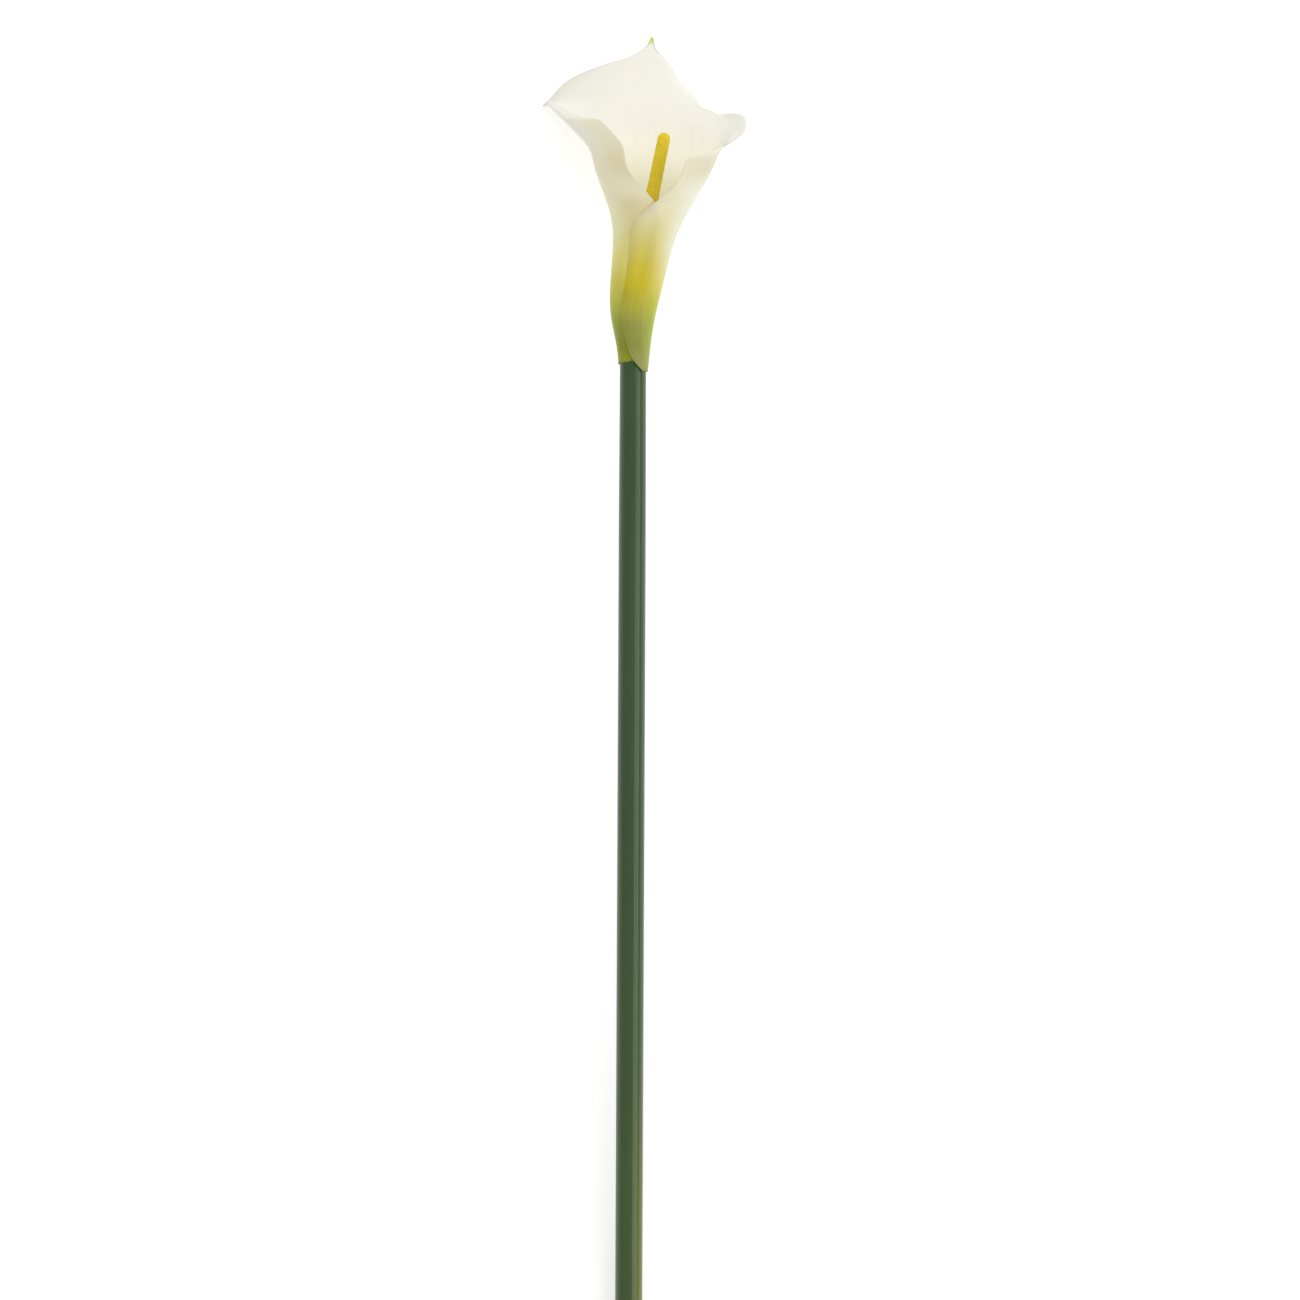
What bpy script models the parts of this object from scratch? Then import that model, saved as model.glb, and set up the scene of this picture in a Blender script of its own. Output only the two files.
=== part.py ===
"""A calla lily flower on its cut stem, lying on its back.

The three pieces are modelled upright: X to the right, -Y to the front and +Z
up the stem, with the spathe's foot at z = 0. An empty then lays them down, so
that the cut end of the stem and both rolled-back lips touch z = 0, with the
head towards +Y and the open front of the flower facing up.
"""

import math

import bmesh
import bpy
import numpy as np
from mathutils import Euler, Matrix, Vector

MM = 0.001

# Stem: from its top inside the foot down to its cut end, which lies a little to the left.
STEM_RADIUS = 6.1 * MM
NECK_RADIUS = 5.9 * MM
NECK_SHARE = 0.17
STEM_TOP = 8.6 * MM
STEM_END = -510.0 * MM
STEM_DRIFT = -2.4 * MM
STEM_STEPS = 26
ROUND_STEPS = 10

# Spadix: a finger that stands on the stem's top and leans with the throat.
# height, x, depth along its middle, in mm
SPADIX_ROUTE = [
    (8.9, 0.0, 0.0), (25.0, 0.6, 0.0), (44.0, 2.4, 0.0),
    (62.0, 5.2, 0.2), (83.0, 9.4, 0.4), (107.3, 14.4, 0.4),
]
SPADIX_FOOT_RADIUS = 3.4 * MM
SPADIX_TIP_RADIUS = 2.8 * MM
SPADIX_STEPS = 22
DOME_STEPS = 5
DOME_REACH = math.radians(86)

# Spathe: one rolled leaf. Each row is named by its height at the back, in mm.
WALL = 0.7 * MM
FOOT_ROW = 2.0
TIP_ROW = 149.7
ROWS = 44
COLUMNS = 32
ROWS_CLOSE_UP = 1.4
EDGE_PULL = 3.0
# The over flap stands off the oval by 1.25 mm, so that the under edge slips in behind it.
FLAP_STANDS_OFF = 1.25
STAND_OFF_FROM = 50.0
STAND_OFF_OVER = 85.0
# The foot is cut aslant: the over flap hangs lower than the under edge.
SLANT_MIDDLE = 0.4
SLANT_DROP = 2.3
SLANT_FADES_OVER = 12.0
# row, middle x, half width, middle depth, half depth (depth is towards the front)
SECTIONS = [
    (2, 0.0, 6.2, 0.0, 6.2),
    (12, 0.2, 7.2, 0.0, 7.2),
    (24, 0.0, 9.3, 0.0, 9.0),
    (42, 2.0, 11.6, 0.0, 11.3),
    (60, 5.0, 13.6, -0.3, 13.6),
    (70, 6.8, 16.4, -0.8, 15.6),
    (82, 8.4, 21.8, -2.2, 17.8),
    (93, 9.9, 26.6, -4.8, 19.4),
    (102, 9.9, 31.7, -8.4, 19.8),
    (112, 9.0, 39.6, -14.0, 18.0),
    (121, 7.0, 43.0, -22.0, 14.0),
    (132, 6.5, 33.0, -33.0, 8.0),
    (141, 7.5, 16.0, -41.5, 3.6),
    (150, 8.7, 0.6, -48.6, 0.3),
]
# row, how far round from the back the edge lies, in degrees
UNDER_REACH = [
    (2, 215), (42, 212), (60, 205), (74, 190), (80, 176), (90, 158), (100, 152),
    (108, 143), (114, 130), (118, 112), (122, 80), (128, 62), (150, 60),
]
OVER_REACH = [
    (2, 140), (7, 184), (12, 202), (20, 211), (30, 212), (42, 206), (60, 206),
    (69, 197), (73, 184), (76, 172), (81, 157), (88, 147), (95, 142), (101, 124),
    (107, 106), (113, 88), (118, 66), (122, 50), (127, 42), (150, 40),
]
# row, x, depth, height of the free edge above the lap
UNDER_EDGE = [
    (76, 9.6, 16.6, 76.2),
    (84, 3.1, 16.9, 84.0),
    (91, -2.2, 16.3, 90.7),
    (97, -3.6, 15.0, 96.5),
    (103, -5.3, 12.4, 102.5),
    (108, -9.8, 8.6, 108.0),
    (112, -16.0, 2.5, 113.4),
    (115, -22.0, -5.0, 114.2),
    (118, -29.0, -17.0, 116.4),
    (121, -37.0, -33.0, 121.4),
    (123, -41.2, -43.5, 119.6),
    (125.5, -37.6, -47.0, 123.6),
    (130, -30.5, -48.2, 131.0),
    (136, -19.0, -47.2, 136.8),
    (143, -4.2, -46.6, 142.0),
    (147, 5.4, -47.4, 146.4),
    (150, 8.1, -48.6, 151.4),
]
OVER_EDGE = [
    (74, 7.5, 17.4, 74.2),
    (80, 15.7, 18.0, 80.4),
    (85, 20.0, 17.4, 84.5),
    (91, 22.6, 15.5, 91.0),
    (97, 25.5, 12.0, 96.2),
    (101, 31.0, 5.0, 97.2),
    (105, 37.0, -4.0, 99.5),
    (109, 42.2, -14.0, 101.8),
    (113, 46.6, -25.0, 104.8),
    (116, 50.4, -33.0, 108.6),
    (118, 50.8, -38.0, 113.0),
    (120, 48.8, -41.5, 116.4),
    (122, 43.6, -44.0, 114.6),
    (124, 37.6, -46.0, 112.8),
    (128, 29.4, -48.0, 120.6),
    (134, 20.6, -47.6, 130.4),
    (141, 14.4, -46.6, 140.6),
    (147, 10.2, -47.4, 146.2),
    (150, 9.1, -48.6, 151.4),
]
EDGE_STARTS = 70.0
EDGE_FULL = 79.0

# How the flower lies: the head's lift and the roll about the stem, in degrees.
HEAD_LIFT = 3.797
ROLL = -0.1

SPATHE_COLOUR = (0.87, 0.86, 0.80, 1)
SPADIX_COLOUR = (0.67, 0.50, 0.04, 1)
STEM_COLOUR = (0.046, 0.089, 0.037, 1)


def clear_scene():
    for obj in list(bpy.data.objects):
        bpy.data.objects.remove(obj)


def plain_material(name, colour, roughness):
    material = bpy.data.materials.new(name)
    material.use_nodes = True
    shader = material.node_tree.nodes["Principled BSDF"]
    shader.inputs["Base Color"].default_value = colour
    shader.inputs["Roughness"].default_value = roughness
    shader.inputs["Metallic"].default_value = 0.0
    return material


def through(points):
    """A smooth function of the first column through every point: a natural cubic spline."""
    table = np.array(points, float)
    at, value = table[:, 0], table[:, 1:]
    gap = np.diff(at)
    last = len(at) - 1
    system = np.eye(last + 1)
    bend = np.zeros_like(value)
    for i in range(1, last):
        system[i, i - 1 : i + 2] = gap[i - 1], 2 * (gap[i - 1] + gap[i]), gap[i]
        bend[i] = 6 * ((value[i + 1] - value[i]) / gap[i] - (value[i] - value[i - 1]) / gap[i - 1])
    bend = np.linalg.solve(system, bend)

    def curve(x):
        x = np.clip(np.asarray(x, float), at[0], at[-1])
        i = np.clip(np.searchsorted(at, x, side="right") - 1, 0, last - 1)
        before = (x - at[i])[..., None]
        after = (at[i + 1] - x)[..., None]
        h = gap[i][..., None]
        cubic = (bend[i] * after**3 + bend[i + 1] * before**3) / (6 * h)
        line = (value[i] / h - bend[i] * h / 6) * after + (value[i + 1] / h - bend[i + 1] * h / 6) * before
        return cubic + line

    return curve


def ease(x):
    x = np.clip(x, 0, 1)
    return x * x * (3 - 2 * x)


def section_point(angle, row):
    """A point of the row's oval, at an angle in radians from the back."""
    middle_x, half_width, middle_depth, half_depth = np.moveaxis(through(SECTIONS)(row), -1, 0)
    off = FLAP_STANDS_OFF * ease((np.degrees(angle) - STAND_OFF_FROM) / STAND_OFF_OVER)
    x = middle_x + (half_width + off) * np.sin(angle)
    depth = middle_depth - (half_depth + off) * np.cos(angle)
    return np.stack([x, depth, row + 0 * angle], -1)


def spathe_point(across, row):
    """A point of the leaf as x, depth and height in mm.

    across runs from -1 at the under edge, past 0 at the back, to 1 at the over edge.
    """
    across, row = np.broadcast_arrays(np.asarray(across, float), np.asarray(row, float))
    under = -np.radians(through(UNDER_REACH)(row)[..., 0])
    over = np.radians(through(OVER_REACH)(row)[..., 0])
    left = across < 0
    point = section_point(np.where(left, -across * under, across * over), row)
    share = ease((row - EDGE_STARTS) / (EDGE_FULL - EDGE_STARTS))[..., None]
    under_pull = (through(UNDER_EDGE)(row) - section_point(under, row)) * share
    over_pull = (through(OVER_EDGE)(row) - section_point(over, row)) * share
    point = point + np.where(left[..., None], under_pull, over_pull) * np.abs(across)[..., None] ** EDGE_PULL
    slant = SLANT_MIDDLE - SLANT_DROP * np.sin(np.pi * across / 2)
    point[..., 2] += slant * ease(1 - (row - FOOT_ROW) / SLANT_FADES_OVER)
    return point


def upright(point):
    """From x, depth and height in mm to the upright frame in metres."""
    x, depth, height = point
    return Vector((x * MM, -depth * MM, height * MM))


def shade_smooth(mesh):
    mesh.shade_smooth()
    mesh.set_sharp_from_angle(angle=math.radians(40))


def make_spathe(collection):
    sheet = bmesh.new()
    bmesh.ops.create_grid(sheet, x_segments=COLUMNS, y_segments=ROWS, size=1)
    for vertex in sheet.verts:
        climb = (vertex.co.y + 1) / 2
        row = FOOT_ROW + (TIP_ROW - FOOT_ROW) * (1 - (1 - climb) ** ROWS_CLOSE_UP)
        vertex.co = upright(spathe_point(vertex.co.x, row))
    mesh = bpy.data.meshes.new("spathe")
    sheet.to_mesh(mesh)
    sheet.free()
    shade_smooth(mesh)
    mesh.materials.append(plain_material("spathe", SPATHE_COLOUR, 0.45))
    spathe = bpy.data.objects.new("spathe", mesh)
    collection.objects.link(spathe)
    thickness = spathe.modifiers.new("wall", "SOLIDIFY")
    thickness.thickness = WALL
    thickness.offset = -1
    return spathe


def make_tube(collection, name, points, radii, material):
    """A round tube along points, with a radius at each."""
    curve = bpy.data.curves.new(name, "CURVE")
    curve.dimensions = "3D"
    curve.bevel_depth = 1.0
    curve.bevel_resolution = ROUND_STEPS
    curve.use_fill_caps = True
    spline = curve.splines.new("POLY")
    spline.points.add(len(points) - 1)
    for knot, point, radius in zip(spline.points, points, radii):
        knot.co = (*point, 1)
        knot.radius = radius
    curve.materials.append(material)
    tube = bpy.data.objects.new(name, curve)
    collection.objects.link(tube)
    return tube


def make_stem(collection):
    points = []
    radii = []
    for i in range(STEM_STEPS + 1):
        down = i / STEM_STEPS
        height = STEM_TOP + (STEM_END - STEM_TOP) * down
        points.append(Vector((STEM_DRIFT * down, 0, height)))
        radii.append(NECK_RADIUS + (STEM_RADIUS - NECK_RADIUS) * min(1, down / NECK_SHARE))
    return make_tube(collection, "stem", points, radii, plain_material("stem", STEM_COLOUR, 0.35))


def make_spadix(collection):
    route = through(SPADIX_ROUTE)
    foot, tip = SPADIX_ROUTE[0][0], SPADIX_ROUTE[-1][0]
    dome = SPADIX_TIP_RADIUS / MM
    heights = list(np.linspace(foot, tip - dome, SPADIX_STEPS))
    radii = list(np.linspace(SPADIX_FOOT_RADIUS, SPADIX_TIP_RADIUS, SPADIX_STEPS))
    for i in range(1, DOME_STEPS + 1):
        angle = DOME_REACH * i / DOME_STEPS
        heights.append(tip - dome + dome * math.sin(angle))
        radii.append(SPADIX_TIP_RADIUS * math.cos(angle))
    points = [upright((*route(height), height)) for height in heights]
    return make_tube(collection, "spadix", points, radii, plain_material("spadix", SPADIX_COLOUR, 0.7))


def corners(parts, turn):
    """The lowest and highest corners of the turned parts, as they are evaluated."""
    graph = bpy.context.evaluated_depsgraph_get()
    found = []
    for part in parts:
        evaluated = part.evaluated_get(graph)
        mesh = evaluated.to_mesh()
        found += [turn @ vertex.co for vertex in mesh.vertices]
        evaluated.to_mesh_clear()
    return Vector(map(min, zip(*found))), Vector(map(max, zip(*found)))


def lay_down(collection, parts):
    """Lays the upright parts on z = 0, with the middle of their box over the origin."""
    turn = Euler((math.radians(HEAD_LIFT - 90), 0, 0)).to_matrix().to_4x4()
    turn = turn @ Matrix.Rotation(math.radians(ROLL), 4, "Z")
    low, high = corners(parts, turn)
    middle = (low + high) / 2
    laid = bpy.data.objects.new("laid_flower", None)
    collection.objects.link(laid)
    laid.matrix_world = Matrix.Translation((-middle.x, -middle.y, -low.z)) @ turn
    for part in parts:
        part.parent = laid


def main():
    clear_scene()
    collection = bpy.data.collections.new("calla_lily_flower")
    bpy.context.scene.collection.children.link(collection)
    parts = [make_spathe(collection), make_spadix(collection), make_stem(collection)]
    lay_down(collection, parts)


main()
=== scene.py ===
# %% [markdown]
# # A calla lily, cut and laid down
#
# A calla lily is simpler than it looks. What we call its petal is one leaf,
# the spathe, rolled into a funnel so that one side laps over the other. The
# true flowers are hundreds of tiny yellow florets packed on a finger, the
# spadix, which stands in the funnel. Below it is one smooth, fleshy stem.
#
# So three pieces are made here: the leaf from a rule for its cross-sections,
# the spadix and the stem with Geometry Nodes. The plain solids of the same
# three pieces are loaded first. They give the places, and are then hidden.

# %% Load the plain solids
import math

import bmesh
import bpy
import numpy as np
from mathutils import Matrix, Vector


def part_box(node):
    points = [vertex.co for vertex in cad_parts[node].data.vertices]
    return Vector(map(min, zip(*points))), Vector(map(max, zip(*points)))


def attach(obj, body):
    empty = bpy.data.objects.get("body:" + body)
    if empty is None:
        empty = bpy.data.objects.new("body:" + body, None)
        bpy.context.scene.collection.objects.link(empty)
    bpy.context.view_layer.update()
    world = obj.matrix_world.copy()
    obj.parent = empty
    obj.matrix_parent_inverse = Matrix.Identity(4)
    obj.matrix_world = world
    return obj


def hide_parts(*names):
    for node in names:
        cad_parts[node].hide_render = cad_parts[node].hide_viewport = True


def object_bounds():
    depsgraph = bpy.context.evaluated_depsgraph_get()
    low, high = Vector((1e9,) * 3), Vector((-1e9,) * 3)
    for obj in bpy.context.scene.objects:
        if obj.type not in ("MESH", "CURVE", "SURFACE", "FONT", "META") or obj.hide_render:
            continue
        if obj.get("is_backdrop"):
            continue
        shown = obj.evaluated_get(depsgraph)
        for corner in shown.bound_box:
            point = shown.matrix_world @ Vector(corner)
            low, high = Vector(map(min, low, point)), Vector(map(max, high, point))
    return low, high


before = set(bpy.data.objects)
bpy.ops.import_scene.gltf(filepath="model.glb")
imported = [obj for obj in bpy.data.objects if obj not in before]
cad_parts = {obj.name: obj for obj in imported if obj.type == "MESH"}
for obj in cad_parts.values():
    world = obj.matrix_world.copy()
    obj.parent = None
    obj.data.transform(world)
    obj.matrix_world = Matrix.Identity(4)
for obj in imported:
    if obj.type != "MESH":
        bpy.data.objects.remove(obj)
cad_box = [list(corner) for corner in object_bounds()]
MM = 0.001
print("plain solids:", ", ".join(sorted(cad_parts)))
print("box in mm:", [round((high - low) / MM, 1) for low, high in zip(*cad_box)])

# %% [markdown]
# ## The upright flower, and how it lies
#
# It is easier to think of the flower standing up: x to the right, depth
# towards the front, height up the stem, all in millimetres from the spathe's
# foot. On the table it lies on its back. The head is held up by the limb's
# rolled lips, so the stem climbs by a few degrees towards it.
#
# The turn is two angles. The place then comes from the plain stem's box: a
# cloud of points on our own stem is turned, and its box is moved onto that one.

# %% From the upright flower to the table
HEAD_LIFT = math.radians(3.797)
ROLL = math.radians(-0.1)
STEM_TOP, STEM_END, STEM_DRIFT = 8.6, -510.0, -2.4
NECK_RADIUS, STEM_RADIUS = 5.9, 6.1

lay_back = Matrix.Rotation(HEAD_LIFT - math.pi / 2, 3, "X") @ Matrix.Rotation(ROLL, 3, "Z")
TURN = np.array(lay_back)


def turned(points):
    """Upright millimetres (x, depth, height) to metres in the lying flower's directions."""
    x, depth, height = np.moveaxis(np.asarray(points, float), -1, 0)
    return np.stack([x, -depth, height], -1) @ TURN.T * MM


def ring(radius, x, height, count=96):
    angle = np.linspace(0, 2 * math.pi, count, endpoint=False)
    return np.stack([x + radius * np.cos(angle), radius * np.sin(angle), np.full(count, height)], -1)


stem_cloud = turned(np.vstack([ring(NECK_RADIUS, 0, STEM_TOP), ring(STEM_RADIUS, STEM_DRIFT, STEM_END)]))
stem_low, stem_high = (np.array(corner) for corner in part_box("stem"))
FOOT = (stem_low + stem_high) / 2 - (stem_cloud.min(0) + stem_cloud.max(0)) / 2
print("the spathe's foot is at, in mm:", (FOOT / MM).round(2))


def laid(points):
    """Upright millimetres to the table, in metres."""
    return turned(points) + FOOT


# %% [markdown]
# ## The rolled leaf
#
# A calla's spathe could be sculpted, but a rule keeps it clean. Each row of
# the leaf is an oval round the throat. The row starts at the under edge on the
# left, runs round the back and ends at the over edge on the right. Near the
# foot a row goes more than once round, and that is the lap. Higher up the rows
# open, and the two free edges are pulled out and back to make the lips.
#
# The tables below hold the few rows where the shape changes. A smooth spline
# gives all the rows between them.

# %% Tables of the leaf's rows
FOOT_ROW, TIP_ROW = 2.0, 149.9
FLAP_AT_FOOT, FLAP_ABOVE, FLAP_SETTLES_FROM, FLAP_SETTLES_OVER = 1.0, 0.58, 16.0, 22.0
STAND_OFF_FROM, STAND_OFF_OVER = 92.0, 48.0
EDGE_STARTS, EDGE_FULL, EDGE_PULL = 70.0, 79.0, 3.0
TIP_RISE, TIP_RISES_FROM, TIP_RISES_OVER = 1.2, 147.5, 2.4
PINCH_DROP, PINCH_ACROSS, PINCH_WIDTH, PINCH_ROW, PINCH_ROWS = 2.6, 0.76, 0.12, 121.0, 3.5
FLARE_OUT, FLARE_ACROSS, FLARE_WIDTH, FLARE_ROW, FLARE_ROWS = 2.9, -0.81, 0.24, 119.7, 1.95
RAGGED_DEPTH, RAGGED_WAVES, RAGGED_ROWS = 0.16, (7.0, 16.0), 3.0
SLANT_MIDDLE, SLANT_DROP, SLANT_FADES_OVER = 0.4, 2.3, 12.0
# row, middle x, half width, middle depth, half depth
SECTIONS = [
    (2, 0.0, 6.2, 0.0, 6.2),
    (12, 0.2, 7.2, 0.0, 7.2),
    (24, 0.0, 9.3, 0.0, 9.0),
    (42, 2.0, 11.6, 0.0, 11.3),
    (60, 5.0, 13.6, -0.3, 13.6),
    (70, 6.8, 16.4, -0.8, 15.6),
    (82, 8.4, 21.8, -2.2, 17.8),
    (93, 9.9, 26.6, -4.8, 19.4),
    (102, 10.8, 30.9, -8.4, 19.8),
    (112, 9.0, 39.6, -14.0, 18.0),
    (121, 7.0, 43.0, -22.0, 14.0),
    (132, 6.5, 33.0, -33.0, 8.0),
    (141, 7.5, 16.0, -41.5, 3.6),
    (150, 8.7, 0.6, -48.6, 0.3),
]
# row, how far round from the back the edge lies, in degrees
UNDER_REACH = [
    (2, 215), (42, 212), (60, 205), (74, 190), (80, 176), (90, 158), (100, 152),
    (108, 143), (114, 130), (118, 112), (122, 80), (128, 62), (150, 60),
]
OVER_REACH = [
    (2, 140), (7, 184), (12, 202), (20, 211), (30, 212), (42, 206), (60, 206),
    (69, 197), (73, 184), (76, 172), (81, 157), (88, 147), (95, 142), (101, 124),
    (107, 106), (113, 88), (118, 66), (122, 50), (127, 42), (150, 40),
]
# row, x, depth, height of the free edge above the lap
UNDER_EDGE = [
    (76, 9.6, 16.6, 76.2),
    (84, 3.1, 16.9, 84.0),
    (91, -2.2, 16.3, 90.7),
    (97, -3.6, 15.0, 96.5),
    (103, -5.3, 12.4, 102.5),
    (108, -9.8, 8.6, 108.0),
    (112, -16.0, 2.5, 113.4),
    (115, -22.0, -5.0, 114.2),
    (118, -30.0, -18.0, 118.2),
    (121, -37.6, -33.0, 122.2),
    (123, -41.2, -43.5, 119.6),
    (125.5, -37.6, -47.0, 123.6),
    (130, -30.5, -48.2, 131.0),
    (136, -19.0, -47.2, 136.8),
    (143, -4.2, -46.6, 141.6),
    (147, 4.4, -47.4, 145.2),
    (148.7, 7.1, -48.2, 148.2),
    (150, 8.2, -48.6, 151.0),
]
OVER_EDGE = [
    (74, 7.5, 17.4, 74.2),
    (80, 15.7, 18.0, 80.4),
    (85, 20.0, 17.4, 84.5),
    (91, 22.6, 15.5, 91.0),
    (97, 25.5, 12.0, 96.2),
    (101, 31.0, 5.0, 97.2),
    (105, 37.0, -4.0, 99.5),
    (109, 42.2, -14.0, 101.8),
    (113, 46.6, -25.0, 104.8),
    (116, 50.4, -33.0, 108.6),
    (118, 50.8, -38.0, 113.0),
    (120, 48.8, -41.5, 116.4),
    (122, 43.6, -44.0, 114.6),
    (124, 37.6, -46.0, 112.8),
    (128, 30.0, -48.0, 121.2),
    (134, 22.0, -47.6, 130.8),
    (141, 16.2, -46.8, 140.0),
    (145, 12.2, -46.9, 143.2),
    (147.4, 9.7, -47.5, 145.6),
    (148.7, 9.2, -48.2, 148.2),
    (150, 8.6, -48.6, 151.0),
]

# %% [markdown]
# A natural cubic spline passes through every point of a table and bends as
# little as it can between them, like a draughtsman's thin lath.


# %% A smooth line through a table
def through(points):
    """A smooth function of the first column through every point."""
    table = np.array(points, float)
    at, value = table[:, 0], table[:, 1:]
    gap = np.diff(at)
    last = len(at) - 1
    system = np.eye(last + 1)
    bend = np.zeros_like(value)
    for i in range(1, last):
        system[i, i - 1 : i + 2] = gap[i - 1], 2 * (gap[i - 1] + gap[i]), gap[i]
        bend[i] = 6 * ((value[i + 1] - value[i]) / gap[i] - (value[i] - value[i - 1]) / gap[i - 1])
    bend = np.linalg.solve(system, bend)

    def curve(x):
        x = np.clip(np.asarray(x, float), at[0], at[-1])
        i = np.clip(np.searchsorted(at, x, side="right") - 1, 0, last - 1)
        before = (x - at[i])[..., None]
        after = (at[i + 1] - x)[..., None]
        h = gap[i][..., None]
        cubic = (bend[i] * after**3 + bend[i + 1] * before**3) / (6 * h)
        line = (value[i] / h - bend[i] * h / 6) * after + (value[i + 1] / h - bend[i + 1] * h / 6) * before
        return cubic + line

    return curve


def ease(x):
    """0 to 1 with soft ends."""
    x = np.clip(x, 0, 1)
    return x * x * (3 - 2 * x)


section = through(SECTIONS)
under_reach, over_reach = through(UNDER_REACH), through(OVER_REACH)
under_edge, over_edge = through(UNDER_EDGE), through(OVER_EDGE)


# %% [markdown]
# The oval alone would be a plain funnel, so the rule adds what makes it a
# calla. The over side stands off a little from the side that it laps, most of
# all at the foot, where the flap is free. The lips are pulled out to their own
# lines. The left corner flares, the edge is pinched before the right lobe, the
# tip rises to a point, and the cut foot is slanted and very slightly ragged.


# %% The rule for the leaf
def section_point(angle, row):
    """A point of the row's oval, at an angle in radians from the back."""
    middle_x, half_width, middle_depth, half_depth = np.moveaxis(section(row), -1, 0)
    settled = ease((row - FLAP_SETTLES_FROM) / FLAP_SETTLES_OVER)
    stands_off = FLAP_AT_FOOT + (FLAP_ABOVE - FLAP_AT_FOOT) * settled
    off = stands_off * ease((np.degrees(angle) - STAND_OFF_FROM) / STAND_OFF_OVER)
    x = middle_x + (half_width + off) * np.sin(angle)
    depth = middle_depth - (half_depth + off) * np.cos(angle)
    return np.stack([x, depth, row + 0 * angle], -1)


def mound(across, row, at_across, width, at_row, rows):
    """1 at one place of the leaf, fading softly round it."""
    return np.exp(-(((across - at_across) / width) ** 2) - ((row - at_row) / rows) ** 2)


def leaf_point(across, row):
    """A point of the inner face. across is -1 at the under edge, 0 at the back, 1 at the over edge."""
    under = -np.radians(under_reach(row)[..., 0])
    over = np.radians(over_reach(row)[..., 0])
    left = across < 0
    point = section_point(np.where(left, -across * under, across * over), row)
    share = ease((row - EDGE_STARTS) / (EDGE_FULL - EDGE_STARTS))[..., None]
    under_pull = (under_edge(row) - section_point(under, row)) * share
    over_pull = (over_edge(row) - section_point(over, row)) * share
    point = point + np.where(left[..., None], under_pull, over_pull) * np.abs(across)[..., None] ** EDGE_PULL
    slant = SLANT_MIDDLE - SLANT_DROP * np.sin(math.pi * across / 2)
    point[..., 2] += slant * ease(1 - (row - FOOT_ROW) / SLANT_FADES_OVER)
    risen = TIP_RISE * ease((row - TIP_RISES_FROM) / TIP_RISES_OVER)
    point[..., 2] += risen * (1 - np.abs(across) ** EDGE_PULL)
    point[..., 2] -= PINCH_DROP * mound(across, row, PINCH_ACROSS, PINCH_WIDTH, PINCH_ROW, PINCH_ROWS)
    point[..., 0] -= FLARE_OUT * mound(across, row, FLARE_ACROSS, FLARE_WIDTH, FLARE_ROW, FLARE_ROWS)
    ragged = sum(np.sin(wave * math.pi * across + wave) for wave in RAGGED_WAVES)
    point[..., 2] += RAGGED_DEPTH * ragged * ease(1 - (row - FOOT_ROW) / RAGGED_ROWS)
    return point


# %% [markdown]
# ## From a sheet to a petal with thickness
#
# A petal is thin at its edges and fleshy along its middle and foot. A Solidify
# modifier could give it one thickness, or one per vertex group. Here both faces
# are built together from the same grid, so that the thickness is a formula too,
# and each vertex can carry what the paint will need: how far across and up the
# leaf it is, how far to the side of the throat, and whether it is on the inner face.

# %% The grid of the leaf
ACROSS, UP = 168, 184
ROWS_CLOSE_UP = 1.3
PACKED_AT_EDGES = 0.35

even_line = np.linspace(-1, 1, ACROSS + 1)
packed_line = np.sin(even_line * math.pi / 2)
across_line = packed_line * PACKED_AT_EDGES + even_line * (1 - PACKED_AT_EDGES)
row_line = FOOT_ROW + (TIP_ROW - FOOT_ROW) * (1 - (1 - np.linspace(0, 1, UP + 1)) ** ROWS_CLOSE_UP)
across_grid, row_grid = np.meshgrid(across_line, row_line)
inner_face = leaf_point(across_grid, row_grid)
print("leaf grid:", inner_face.shape[:2])


# %% Which way is out, and how thick the leaf is
def outward(grid):
    """Unit normals of a grid of points, away from the throat."""
    along = np.gradient(grid, axis=1)
    up = np.gradient(grid, axis=0)
    normal = np.cross(along, up)
    return normal / np.maximum(np.linalg.norm(normal, axis=-1, keepdims=True), 1e-9)


EDGE_THICKNESS, BODY_THICKNESS, RIB_THICKNESS = 0.14, 0.52, 0.35
EDGE_THINS_OVER, RIB_HALF_WIDTH = 0.16, 0.10
LEAF_TOP, RIB_FADES_OVER, TIP_THINS_OVER, TIP_THINNED_TO = 150, 60, 14, 0.55
LAP_FROM, LAP_GROWS_OVER, LAP_ENDS, LAP_ENDS_OVER, LAP_THINNED_BY = 130, 35, 80, 8, 0.62

to_edge = 1 - np.abs(across_grid)
to_top = LEAF_TOP - row_grid
thickness = EDGE_THICKNESS + (BODY_THICKNESS - EDGE_THICKNESS) * ease(to_edge / EDGE_THINS_OVER)
rib = np.exp(-((across_grid / RIB_HALF_WIDTH) ** 2)) * ease(to_top / RIB_FADES_OVER)
thickness += RIB_THICKNESS * rib
thickness *= TIP_THINNED_TO + (1 - TIP_THINNED_TO) * ease(to_top / TIP_THINS_OVER)
degrees_round = across_grid * over_reach(row_grid)[..., 0]
lapped_over = ease((degrees_round - LAP_FROM) / LAP_GROWS_OVER) * ease((LAP_ENDS - row_grid) / LAP_ENDS_OVER)
thickness *= 1 - LAP_THINNED_BY * lapped_over
outer_face = inner_face + outward(inner_face) * thickness[..., None]
print("thickness in mm: %.2f to %.2f" % (thickness.min(), thickness.max()))


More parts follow.
